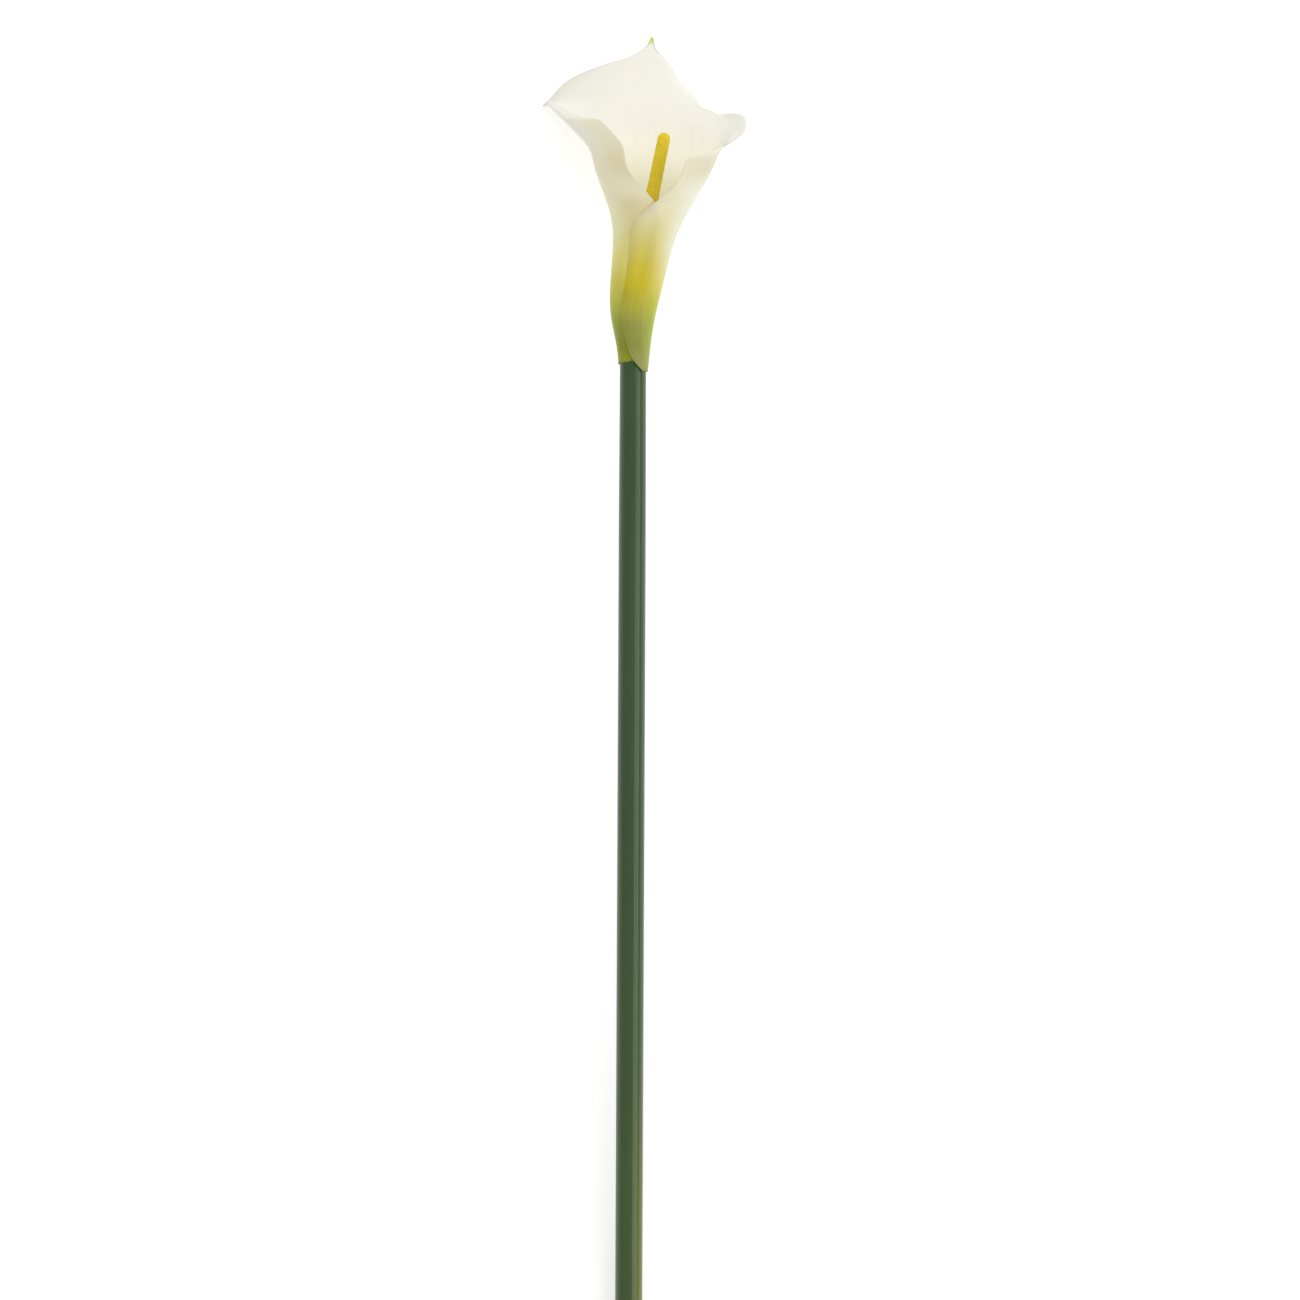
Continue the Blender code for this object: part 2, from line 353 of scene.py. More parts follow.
# %% Sew the two faces into one closed petal
def build_petal(outer, inner):
    """One closed mesh from two grids that share an outline."""
    rows, columns = outer.shape[:2]
    count = rows * columns
    index = np.arange(count).reshape(rows, columns)
    a, b, c, d = index[:-1, :-1], index[:-1, 1:], index[1:, 1:], index[1:, :-1]
    outside = np.stack([a, b, c, d], -1).reshape(-1, 4)
    inside = np.stack([a, d, c, b], -1).reshape(-1, 4) + count
    rim = np.concatenate([index[0, :], index[1:, -1], index[-1, -2::-1], index[-2:0:-1, 0]])
    following = np.roll(rim, -1)
    wall = np.stack([following, rim, rim + count, following + count], -1)
    points = laid(np.concatenate([outer.reshape(-1, 3), inner.reshape(-1, 3)]))
    print("lips dip under the table by, in mm: %.2f" % (-points[:, 2].min() / MM))
    points[:, 2] = np.maximum(points[:, 2], 0)
    mesh = bpy.data.meshes.new("petal")
    mesh.from_pydata(points.tolist(), [], np.concatenate([outside, inside, wall]).tolist())
    return mesh


petal_mesh = build_petal(outer_face, inner_face)
reach = np.where(across_grid < 0, under_reach(row_grid)[..., 0], over_reach(row_grid)[..., 0])
side_grid = np.sin(np.radians(across_grid * reach))


def on_both_faces(values):
    return np.tile(values.reshape(-1), 2)


for name, values in (
    ("across", on_both_faces(across_grid)),
    ("row", on_both_faces(row_grid)),
    ("side", on_both_faces(side_grid)),
    ("inner", np.repeat([0.0, 1.0], across_grid.size)),
):
    layer = petal_mesh.attributes.new(name, "FLOAT", "POINT")
    layer.data.foreach_set("value", values.astype(np.float32))

check = bmesh.new()
check.from_mesh(petal_mesh)
print("petal volume in mm3: %.0f" % (check.calc_volume(signed=True) / MM**3))
print("open edges:", sum(not edge.is_manifold for edge in check.edges))
check.free()

# %% [markdown]
# ## Small helpers for node trees
#
# Shader trees and geometry trees are built the same way: make a node, set its
# values, link its inputs. One helper does all three, so that the recipes below
# read like recipes.


# %% One helper to add a node
def add(tree, kind, settings=None, inputs=None):
    """Adds a node. settings are its properties; inputs are values, or sockets to link."""
    node = tree.nodes.new(kind)
    for name, value in (settings or {}).items():
        setattr(node, name, value)
    for name, value in (inputs or {}).items():
        if isinstance(value, bpy.types.NodeSocket):
            tree.links.new(value, node.inputs[name])
        else:
            node.inputs[name].default_value = value
    return node


def maths(tree, operation, *values):
    return add(tree, "ShaderNodeMath", {"operation": operation}, dict(enumerate(values))).outputs[0]


def product(tree, *shares):
    """All the shares multiplied together."""
    result = shares[0]
    for share in shares[1:]:
        result = maths(tree, "MULTIPLY", result, share)
    return result


def quarter_circle(tree, share):
    """1 at share 0 and 0 at share 1, by a quarter of a circle."""
    return maths(tree, "SQRT", maths(tree, "SUBTRACT", 1.0, product(tree, share, share)))


def vector_maths(tree, operation, first, second):
    node = add(tree, "ShaderNodeVectorMath", {"operation": operation}, {0: first, 1: second})
    return node.outputs["Vector"]


def scaled(tree, vector, factor):
    node = add(tree, "ShaderNodeVectorMath", {"operation": "SCALE"}, {"Vector": vector, "Scale": factor})
    return node.outputs["Vector"]


def between(tree, value, low, high):
    """0 at low and beyond, 1 at high and beyond, soft in between. low may be the larger one."""
    return add(
        tree, "ShaderNodeMapRange", {"interpolation_type": "SMOOTHSTEP"},
        {"Value": value, "From Min": low, "From Max": high},
    ).outputs[0]


def mix(tree, share, first, second, blend="MIX"):
    """A colour between first (share 0) and second (share 1)."""
    node = add(tree, "ShaderNodeMix", {"data_type": "RGBA", "blend_type": blend, "clamp_factor": True})
    for socket, value in ((node.inputs[0], share), (node.inputs[6], first), (node.inputs[7], second)):
        if isinstance(value, bpy.types.NodeSocket):
            tree.links.new(value, socket)
        else:
            socket.default_value = value
    return node.outputs[2]


def screen(red, green, blue):
    """A colour given as it looks on a screen, 0 to 255, in the linear values that shaders take."""
    def linear(value):
        value /= 255
        return value / 12.92 if value <= 0.04045 else ((value + 0.055) / 1.055) ** 2.4

    return (linear(red), linear(green), linear(blue), 1.0)


def ramp(tree, position, stops):
    """A ColorRamp whose stops are (place, screen colour)."""
    node = add(tree, "ShaderNodeValToRGB", None, {"Fac": position})
    elements = node.color_ramp.elements
    elements[0].position, elements[-1].position = stops[0][0], stops[-1][0]
    elements[0].color, elements[-1].color = screen(*stops[0][1]), screen(*stops[-1][1])
    for place, colour in stops[1:-1]:
        elements.new(place).color = screen(*colour)
    return node.outputs["Color"]


def new_group(kind, name, inputs, outputs):
    """An empty node group with named sockets. Gives the tree, its input node and its output node."""
    tree = bpy.data.node_groups.new(name, kind)
    for socket, (socket_type, value) in inputs.items():
        item = tree.interface.new_socket(socket, in_out="INPUT", socket_type="NodeSocket" + socket_type)
        if value is not None:
            item.default_value = value
    for socket, socket_type in outputs.items():
        tree.interface.new_socket(socket, in_out="OUTPUT", socket_type="NodeSocket" + socket_type)
    return tree, tree.nodes.new("NodeGroupInput"), tree.nodes.new("NodeGroupOutput")


# %% [markdown]
# ## Living skin
#
# Petal, stem and spadix share one thing: a skin of cells, drawn out along the
# growth, with faint lengthwise veins and a slow unevenness of tone. It is made
# once as a node group. Each material gives it a place, whose y runs along the
# growth, and three scales, and takes back a tone to mix with and a height for its bump.

# %% The skin group, shared by the petal, the spadix and the stem
DRAWN_OUT = (1.0, 0.035, 1.0)
VEINS_IN_TONE, VEINS_IN_HEIGHT = 0.45, 0.7
skin, skin_in, skin_out = new_group(
    "ShaderNodeTree",
    "living_skin",
    {
        "Place": ("Vector", None),
        "Vein spacing": ("Float", 40.0),
        "Mottle scale": ("Float", 8.0),
        "Grain scale": ("Float", 60.0),
    },
    {"Tone": "Float", "Veins": "Float", "Height": "Float"},
)
place = skin_in.outputs["Place"]
drawn_out = add(skin, "ShaderNodeMapping", None, {"Vector": place, "Scale": DRAWN_OUT}).outputs[0]
veins = add(
    skin, "ShaderNodeTexNoise", {"noise_dimensions": "3D"},
    {"Vector": drawn_out, "Scale": skin_in.outputs["Vein spacing"], "Detail": 3.0, "Roughness": 0.6},
).outputs[0]
mottle = add(
    skin, "ShaderNodeTexNoise", None,
    {"Vector": place, "Scale": skin_in.outputs["Mottle scale"], "Detail": 4.0, "Roughness": 0.55},
).outputs[0]
grain = add(
    skin, "ShaderNodeTexNoise", None,
    {"Vector": place, "Scale": skin_in.outputs["Grain scale"], "Detail": 2.0, "Roughness": 0.5},
).outputs[0]
tone = maths(skin, "ADD", product(skin, veins, VEINS_IN_TONE), product(skin, mottle, 1 - VEINS_IN_TONE))
height = maths(skin, "ADD", product(skin, veins, VEINS_IN_HEIGHT), product(skin, grain, 1 - VEINS_IN_HEIGHT))
skin.links.new(tone, skin_out.inputs["Tone"])
skin.links.new(veins, skin_out.inputs["Veins"])
skin.links.new(height, skin_out.inputs["Height"])
print("skin group sockets:", [item.name for item in skin.interface.items_tree])


def skin_on(tree, place, vein_spacing, mottle_scale, grain_scale):
    """Places the skin group in a material."""
    node = tree.nodes.new("ShaderNodeGroup")
    node.node_tree = skin
    tree.links.new(place, node.inputs["Place"])
    node.inputs["Vein spacing"].default_value = vein_spacing
    node.inputs["Mottle scale"].default_value = mottle_scale
    node.inputs["Grain scale"].default_value = grain_scale
    return node


def new_material(name, roughness, **sockets):
    """A material with one Principled BSDF. sockets are constants on the shader itself."""
    material = bpy.data.materials.new(name)
    material.use_nodes = True
    shader = material.node_tree.nodes["Principled BSDF"]
    shader.inputs["Roughness"].default_value = roughness
    for socket, value in sockets.items():
        shader.inputs[socket.replace("_", " ")].default_value = value
    return material, material.node_tree, shader


def bump(tree, shader, height, distance, strength=1.0):
    """A bump of this height in metres, into the shader's normal."""
    node = add(tree, "ShaderNodeBump", None, {"Height": height, "Distance": distance, "Strength": strength})
    tree.links.new(node.outputs["Normal"], shader.inputs["Normal"])


# %% [markdown]
# ## The petal's paint
#
# The colour follows the leaf. Up a row: olive green at the foot, a painted warm
# yellow glow where the spadix shows through the thin wall, cream, then white at
# the lips, with a green point at the very tip. Round a row: the glow is deepest
# in the middle of the tube and paler at its sides. The inner face is whiter than
# the outer one, and deep in the throat it is painted brighter still, painted
# light against the throat's shade. Small zones come on top: a painted warm shade
# under the left lip and where the left side goes under the lap, a painted bright
# edge on the flap, a darker olive on the covered side near the foot, partly its
# own colour and partly painted shade beside the flap, a painted grey shade on the
# inner face at the lips and on the right lobe, and a dark band at the cut foot.
# All of that reads the attributes stored on the mesh, so the paint stays put
# whichever way the flower lies.

# %% Petal: the colours up the leaf, as (how far up, colour on a screen)
LEFT_TONES = [
    (0.00, (168, 180, 6)), (0.08, (145, 150, 14)), (0.14, (152, 163, 46)), (0.20, (185, 185, 64)),
    (0.28, (207, 200, 84)), (0.37, (229, 222, 146)), (0.43, (234, 229, 182)), (0.54, (236, 231, 200)),
    (0.64, (229, 223, 196)), (0.70, (239, 235, 220)), (0.78, (238, 236, 226)), (1.00, (240, 238, 230)),
]
RIGHT_TONES = [
    (0.00, (156, 160, 96)), (0.08, (164, 175, 72)), (0.14, (168, 179, 66)), (0.20, (188, 189, 62)),
    (0.28, (220, 208, 122)), (0.37, (228, 225, 190)), (0.43, (231, 229, 202)), (0.54, (236, 234, 214)),
    (0.60, (216, 212, 186)), (0.64, (218, 214, 190)), (0.70, (239, 237, 222)), (0.78, (238, 236, 224)),
    (1.00, (240, 238, 230)),
]
GLOW_TONES = [
    (0.00, (150, 154, 88)), (0.08, (143, 148, 62)), (0.14, (152, 155, 68)), (0.20, (182, 175, 54)),
    (0.26, (206, 185, 28)), (0.32, (208, 189, 56)), (0.37, (214, 198, 98)), (0.43, (222, 212, 146)),
    (0.50, (230, 222, 188)), (0.64, (228, 222, 196)), (0.74, (236, 234, 222)), (1.00, (240, 238, 230)),
]
# from about 0.48 to 0.67 up, deep in the throat, the inner face is painted brighter than the rest of it:
# painted light against the throat's shade
INNER_TONES = [
    (0.00, (176, 180, 84)), (0.20, (214, 196, 90)), (0.36, (236, 226, 160)), (0.48, (246, 242, 210)),
    (0.60, (251, 247, 228)), (0.67, (248, 244, 229)), (0.75, (239, 237, 228)), (1.00, (237, 235, 226)),
]

# %% Petal: where the paint is on the leaf
petal_paint, tree, shader = new_material(
    "spathe_wax", 0.45, Subsurface_Weight=0.35, Subsurface_Scale=0.0012, Specular_IOR_Level=0.25,
)
shader.inputs["Subsurface Radius"].default_value = (1.0, 0.9, 0.65)


def stored(tree, name):
    return add(tree, "ShaderNodeAttribute", {"attribute_name": name}).outputs["Fac"]


ROWS_PER_SKIN_UNIT, INNER_SKIN_AWAY, WAVER = 40, 3.0, 0.05
across, row, side, inner = (stored(tree, name) for name in ("across", "row", "side", "inner"))
leaf_place = add(
    tree, "ShaderNodeCombineXYZ", None,
    {
        "X": across,
        "Y": product(tree, row, 1 / ROWS_PER_SKIN_UNIT),
        "Z": product(tree, inner, INNER_SKIN_AWAY),
    },
).outputs[0]
petal_skin = skin_on(tree, leaf_place, vein_spacing=26.0, mottle_scale=2.2, grain_scale=70.0)
waver = product(tree, maths(tree, "SUBTRACT", petal_skin.outputs["Tone"], 0.5), WAVER)
climb = maths(tree, "ADD", product(tree, row, 1 / LEAF_TOP), waver)

# %% Petal: colours up the outer face, at its left, its right and its middle
RIGHT_FLANK = (-0.3, 0.5)
GLOW_MIDDLE, GLOW_REACH = 0.02, (0.95, 0.25)
UNDER_LAP_ROWS = (58.0, 44.0)

left = ramp(tree, climb, LEFT_TONES)
right = ramp(tree, climb, RIGHT_TONES)
glow = ramp(tree, climb, GLOW_TONES)
flanks = mix(tree, between(tree, side, *RIGHT_FLANK), left, right)
off_middle = maths(tree, "ABSOLUTE", maths(tree, "SUBTRACT", side, GLOW_MIDDLE))
lapped_under = product(tree, maths(tree, "LESS_THAN", across, 0.0), between(tree, row, *UNDER_LAP_ROWS))
uncovered = maths(tree, "SUBTRACT", 1.0, lapped_under)
glow_share = product(tree, between(tree, off_middle, *GLOW_REACH), uncovered)
outer_colour = mix(tree, glow_share, flanks, glow)

# %% [markdown]
# Every zone is a product of soft steps, one across the leaf and one or two up
# it. A pair says where the step is 0 and where it is 1. Shades are mixed in as
# colours, and the painted warm shade and the painted bright edge multiply what
# is below them.

# %% Petal: the small zones of the outer face
COVERED_BEYOND, COVERED_ROWS, COVERED_SHARE = -0.55, (34.0, 6.0), 0.35
LAP_ACROSS, LAP_BEGINS, LAP_STOPS = (-0.6, -0.8), (56.0, 62.0), (82.0, 74.0)
LIP_ACROSS, LIP_BEGINS, LIP_STOPS = (-0.80, -0.95), (84.0, 92.0), (119.0, 114.0)
FLAP_ACROSS, FLAP_BEGINS, FLAP_STOPS = (0.80, 0.94), (34.0, 44.0), (78.0, 68.0)
FOOT_BAND_ROWS, FOOT_BAND_SHARE = (3.2, 2.0), 0.3
OLIVE_AND_PAINTED_SHADE, FOOT_SHADE = screen(104, 112, 14), screen(92, 110, 30)
WARM_PAINTED_SHADE, FLAP_EDGE_PAINTED_LIGHT = (0.91, 0.88, 0.79, 1.0), (1.20, 1.16, 1.04, 1.0)


def zone(across_step, *row_steps):
    """A share that is 1 in one patch of the petal, from its across and row attributes."""
    up_steps = [between(tree, row, *step) for step in row_steps]
    return product(tree, between(tree, across, *across_step), *up_steps)


# the covered side near the foot is mixed towards a darker olive: partly its own colour, partly painted shade
# beside the flap's edge
covered = maths(tree, "LESS_THAN", across, COVERED_BEYOND)
covered_shade_share = product(tree, covered, between(tree, row, *COVERED_ROWS), COVERED_SHARE)
outer_colour = mix(tree, covered_shade_share, outer_colour, OLIVE_AND_PAINTED_SHADE)
# painted shade: a warm, darker tone multiplied in under the left lip and where the left side goes under the
# lap
beside_lap_shade_share = zone(LAP_ACROSS, LAP_BEGINS, LAP_STOPS)
under_lip_shade_share = zone(LIP_ACROSS, LIP_BEGINS, LIP_STOPS)
warm_painted_shade_share = maths(tree, "MAXIMUM", beside_lap_shade_share, under_lip_shade_share)
outer_colour = mix(tree, warm_painted_shade_share, outer_colour, WARM_PAINTED_SHADE, "MULTIPLY")
foot_band = product(tree, between(tree, row, *FOOT_BAND_ROWS), FOOT_BAND_SHARE)
outer_colour = mix(tree, foot_band, outer_colour, FOOT_SHADE)
# painted light: the strip along the flap's edge is multiplied brighter, as where its thin edge catches light
flap_edge_light_share = zone(FLAP_ACROSS, FLAP_BEGINS, FLAP_STOPS)
outer_colour = mix(tree, flap_edge_light_share, outer_colour, FLAP_EDGE_PAINTED_LIGHT, "MULTIPLY")

# %% Petal: the inner face with its painted shade, the tip and the veins
LIP_STEP, LIP_SHARE, LIP_PAINTED_SHADE = (0.78, 1.0), 0.6, screen(216, 215, 202)
LOBE_ACROSS, LOBE_ROWS, LOBE_SHARE, LOBE_PAINTED_SHADE = (0.4, 0.8), (130.0, 121.0), 0.8, screen(216, 215, 205)
TIP_ROWS, TIP_GREEN = (147.2, 149.0), screen(196, 208, 110)
VEIN_STEP, VEIN_SHARE, VEIN_SHADE = (0.45, 0.75), 0.10, screen(214, 210, 178)

inner_colour = ramp(tree, climb, INNER_TONES)
# painted shade: the inner face is greyed at both lips and on the right lobe, where the rolled lips turn from
# the light
at_lip = between(tree, maths(tree, "ABSOLUTE", across), *LIP_STEP)
inner_colour = mix(tree, product(tree, at_lip, LIP_SHARE), inner_colour, LIP_PAINTED_SHADE)
on_lobe = zone(LOBE_ACROSS, LOBE_ROWS)
inner_colour = mix(tree, product(tree, on_lobe, LOBE_SHARE), inner_colour, LOBE_PAINTED_SHADE)
colour = mix(tree, inner, outer_colour, inner_colour)
colour = mix(tree, between(tree, row, *TIP_ROWS), colour, TIP_GREEN)
vein_share = product(tree, between(tree, petal_skin.outputs["Veins"], *VEIN_STEP), VEIN_SHARE)
colour = mix(tree, vein_share, colour, VEIN_SHADE)
tree.links.new(colour, shader.inputs["Base Color"])
bump(tree, shader, petal_skin.outputs["Height"], 0.0001, 0.5)

# %% [markdown]
# The petal mesh is dressed, shaded smooth and made a piece of the model. The
# rim is only about a seventh of a millimetre thick, so it needs no bevel:
# smooth shading alone makes it read as a rounded lip.

# %% Make the petal a piece
petal_mesh.materials.append(petal_paint)
petal_mesh.shade_smooth()
petal = bpy.data.objects.new("spathe_petal", petal_mesh)
bpy.context.scene.collection.objects.link(petal)
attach(petal, "root")
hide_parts("spathe")
print("petal faces:", len(petal_mesh.polygons))


# %% [markdown]
# ## Geometry trees on a line
#
# The spadix and the stem both follow a line. A mesh that is only a chain of
# points carries each line, a Geometry Nodes modifier turns it into the piece,
# and the result is copied out as a plain mesh, because a modifier that makes
# instances would be lost when the model is exported.


# %% From a chain of points to a finished mesh
def chain(name, points):
    """A mesh that is only a line through points."""
    mesh = bpy.data.meshes.new(name)
    mesh.from_pydata([tuple(point) for point in points], [(i, i + 1) for i in range(len(points) - 1)], [])
    carrier = bpy.data.objects.new(name, mesh)
    bpy.context.scene.collection.objects.link(carrier)
    return carrier


def grow(carrier, tree, values, name):
    """Runs a geometry tree on the carrier and gives its result as an object with a plain mesh."""
    modifier = carrier.modifiers.new("grow", "NODES")
    modifier.node_group = tree
    for item in tree.interface.items_tree:
        if item.in_out == "INPUT" and item.name in values:
            modifier[item.identifier] = values[item.name]
    graph = bpy.context.evaluated_depsgraph_get()
    mesh = bpy.data.meshes.new_from_object(carrier.evaluated_get(graph))
    mesh.name = name
    bpy.data.objects.remove(carrier)
    grown = bpy.data.objects.new(name, mesh)
    bpy.context.scene.collection.objects.link(grown)
    return grown


# %% [markdown]
# ## The spadix
#
# The finger is packed with florets in two sets of crossing spirals. They come
# from one rule: each new floret sits a golden angle, 137.5 degrees, round from
# the last and a little further up. An equal step up the axis for each floret
# gives them all the same room, on the round tip too, because a slice of a
# sphere has the same area as the same slice of the cylinder round it.
#
# Each floret is a blunt bead of a few dozen faces. There are hundreds, so it
# has to be a small shape, set on points and realised at the end.

# %% Spadix: sizes and its line
SPADIX_ROUTE = [
    (8.9, 0.0, 0.0), (25.0, 0.6, 0.0), (44.0, 2.4, 0.0),
    (62.0, 5.2, 0.2), (83.0, 9.4, 0.4), (107.3, 14.4, 0.4),
]
SPADIX_FOOT_RADIUS, SPADIX_TIP_RADIUS = 3.35, 2.75
FLORETS, FLORET_SIZE, FLORET_STANDS_OUT = 2300, 0.46, 0.30
SPADIX_POINTS, THINNEST = 60, 0.02
spadix_heights = np.linspace(SPADIX_ROUTE[0][0], SPADIX_ROUTE[-1][0] - FLORET_STANDS_OUT, SPADIX_POINTS)
spadix_middle = through(SPADIX_ROUTE)(spadix_heights)
spadix_line = laid(np.column_stack([spadix_middle, spadix_heights]))
spadix_length = float(np.linalg.norm(np.diff(spadix_line, axis=0), axis=1).sum())
print("spadix length in mm: %.1f" % (spadix_length / MM))

# %% [markdown]
# The radius is a formula of how far up the axis a point is: a straight taper,
# then a quarter circle for the round tip. The same formula sizes the core and
# places the florets, so it is a small group of its own.

# %% Spadix: the radius at a height up its axis
finger, finger_in, finger_out = new_group(
    "GeometryNodeTree",
    "finger_radius",
    {
        "Share": ("Float", 0.5),
        "Length": ("Float", 0.1),
        "Foot radius": ("Float", 0.003),
        "Tip radius": ("Float", 0.003),
    },
    {"Radius": "Float", "Lean": "Float"},
)
share = finger_in.outputs["Share"]
taper = add(
    finger, "ShaderNodeMapRange", None,
    {"Value": share, "To Min": finger_in.outputs["Foot radius"], "To Max": finger_in.outputs["Tip radius"]},
).outputs[0]
along = maths(finger, "MULTIPLY", share, finger_in.outputs["Length"])
dome_start = maths(finger, "SUBTRACT", finger_in.outputs["Length"], finger_in.outputs["Tip radius"])
into_dome = maths(finger, "MAXIMUM", maths(finger, "SUBTRACT", along, dome_start), 0.0)
lean = maths(finger, "MINIMUM", maths(finger, "DIVIDE", into_dome, finger_in.outputs["Tip radius"]), 1.0)
finger.links.new(product(finger, taper, quarter_circle(finger, lean)), finger_out.inputs["Radius"])
finger.links.new(lean, finger_out.inputs["Lean"])


def finger_at(tree, share, group_in):
    node = tree.nodes.new("GeometryNodeGroup")
    node.node_tree = finger
    tree.links.new(share, node.inputs["Share"])
    for name in ("Length", "Foot radius", "Tip radius"):
        tree.links.new(group_in.outputs[name], node.inputs[name])
    return node


# %% Spadix: the tree
spadix_tree, g_in, g_out = new_group(
    "GeometryNodeTree",
    "spadix_florets",
    {
        "Line": ("Geometry", None),
        "Length": ("Float", 0.1),
        "Foot radius": ("Float", 0.003),
        "Tip radius": ("Float", 0.003),
        "Florets": ("Int", 100),
        "Floret size": ("Float", 0.0005),
        "Seed": ("Int", 4),
        "Material": ("Material", None),
    },
    {"Mesh": "Geometry"},
)
line = add(spadix_tree, "GeometryNodeMeshToCurve", None, {"Mesh": g_in.outputs["Line"]}).outputs[0]
fine_line = add(spadix_tree, "GeometryNodeResampleCurve", None, {"Curve": line, "Count": 140}).outputs[0]
way_up = add(spadix_tree, "GeometryNodeSplineParameter").outputs["Factor"]
core_radius = finger_at(spadix_tree, way_up, g_in).outputs["Radius"]
circle = add(
    spadix_tree, "GeometryNodeCurvePrimitiveCircle", None, {"Resolution": 28, "Radius": 1.0},
).outputs[0]
core = add(
    spadix_tree, "GeometryNodeCurveToMesh", None,
    {
        "Curve": fine_line, "Profile Curve": circle, "Fill Caps": True,
        "Scale": maths(spadix_tree, "MAXIMUM", core_radius, THINNEST * MM),
    },
).outputs[0]

# %% Spadix: florets by the golden angle
GOLDEN_ANGLE = math.pi * (3 - math.sqrt(5))
seeds = add(spadix_tree, "GeometryNodePoints", None, {"Count": g_in.outputs["Florets"]}).outputs[0]
number = add(spadix_tree, "GeometryNodeInputIndex").outputs[0]
share = maths(spadix_tree, "DIVIDE", maths(spadix_tree, "ADD", number, 0.5), g_in.outputs["Florets"])
on_line = add(
    spadix_tree, "GeometryNodeSampleCurve", {"mode": "FACTOR", "use_all_curves": True},
    {"Curves": fine_line, "Factor": share},
)
here = finger_at(spadix_tree, share, g_in)
turn = maths(spadix_tree, "MULTIPLY", number, GOLDEN_ANGLE)
tangent, first = on_line.outputs["Tangent"], on_line.outputs["Normal"]
second = vector_maths(spadix_tree, "CROSS_PRODUCT", tangent, first)
leaning = here.outputs["Lean"]

outwards = vector_maths(
    spadix_tree, "ADD",
    scaled(spadix_tree, first, maths(spadix_tree, "COSINE", turn)),
    scaled(spadix_tree, second, maths(spadix_tree, "SINE", turn)),
)
spot = vector_maths(
    spadix_tree, "ADD", on_line.outputs["Position"], scaled(spadix_tree, outwards, here.outputs["Radius"]),
)
level = quarter_circle(spadix_tree, leaning)
facing_out = vector_maths(
    spadix_tree, "ADD", scaled(spadix_tree, outwards, level), scaled(spadix_tree, tangent, leaning),
)
placed = add(
    spadix_tree, "GeometryNodeSetPosition", None, {"Geometry": seeds, "Position": spot},
).outputs[0]

# %% [markdown]
# The bead is a little taller than wide and stands on its point with its long
# axis outwards. Each one is a few per cent larger or smaller than the next.

# %% Spadix: set a bead on each spot
bead = add(
    spadix_tree, "GeometryNodeMeshUVSphere", None,
    {"Segments": 7, "Rings": 4, "Radius": g_in.outputs["Floret size"]},
).outputs[0]
stand_up = add(
    spadix_tree, "FunctionNodeAlignRotationToVector", {"axis": "Z"}, {"Vector": facing_out},
).outputs[0]
size = add(
    spadix_tree, "FunctionNodeRandomValue", {"data_type": "FLOAT"},
    {"Min": 0.86, "Max": 1.14, "ID": number, "Seed": g_in.outputs["Seed"]},
).outputs["Value"]
beads = add(
    spadix_tree, "GeometryNodeInstanceOnPoints", None,
    {"Points": placed, "Instance": bead, "Rotation": stand_up, "Scale": size},
).outputs[0]
joined = spadix_tree.nodes.new("GeometryNodeJoinGeometry")
spadix_tree.links.new(core, joined.inputs[0])
spadix_tree.links.new(beads, joined.inputs[0])
whole = add(spadix_tree, "GeometryNodeRealizeInstances", None, {"Geometry": joined.outputs[0]}).outputs[0]
smooth = add(spadix_tree, "GeometryNodeSetShadeSmooth", None, {"Geometry": whole}).outputs[0]
dressed = add(
    spadix_tree, "GeometryNodeSetMaterial", None, {"Geometry": smooth, "Material": g_in.outputs["Material"]},
).outputs[0]
spadix_tree.links.new(dressed, g_out.inputs["Mesh"])

# %% [markdown]
# Pollen makes the finger matt. Its yellow shifts a little from bead to bead,
# between a deeper and a paler yellow, so the colour reads the place in space at
# about the size of a bead.

# %% Spadix: material
pollen, tree, shader = new_material(
    "spadix_pollen", 0.85, Subsurface_Weight=0.15, Subsurface_Scale=0.001, Specular_IOR_Level=0.25,
)
object_place = add(tree, "ShaderNodeTexCoord").outputs["Object"]
pollen_skin = skin_on(tree, object_place, vein_spacing=900.0, mottle_scale=420.0, grain_scale=2600.0)
yellow = mix(tree, pollen_skin.outputs["Tone"], screen(226, 194, 30), screen(252, 232, 84))
tree.links.new(yellow, shader.inputs["Base Color"])
bump(tree, shader, pollen_skin.outputs["Height"], 0.00006, 0.8)

# %% Spadix: grow it
spadix = grow(
    chain("spadix_line", spadix_line),
    spadix_tree,
    {
        "Length": spadix_length,
        "Foot radius": (SPADIX_FOOT_RADIUS - FLORET_STANDS_OUT) * MM,
        "Tip radius": (SPADIX_TIP_RADIUS - FLORET_STANDS_OUT) * MM,
        "Florets": FLORETS,
        "Floret size": FLORET_SIZE * MM,
        "Seed": 4,
        "Material": pollen,
    },
    "spadix_finger",
)
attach(spadix, "root")
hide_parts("spadix")
print("spadix faces:", len(spadix.data.polygons))

# %% [markdown]
# ## The stem
#
# A calla's stem is a smooth fleshy rod with very shallow lengthwise ribs. It
# could be a bevelled curve. A geometry tree on the line is used instead,
# because the ribs then come from the section: the circle that is swept has a
# small wave in its radius. Its top flares a little inside the spathe's foot,
# where the two grow together, so that no light shows between them.
#
# The cut end is worked in the same tree. The end face is drawn in by a narrow
# rounded rim, then set back a little, as the soft pith shrinks from the skin
# once it is cut.

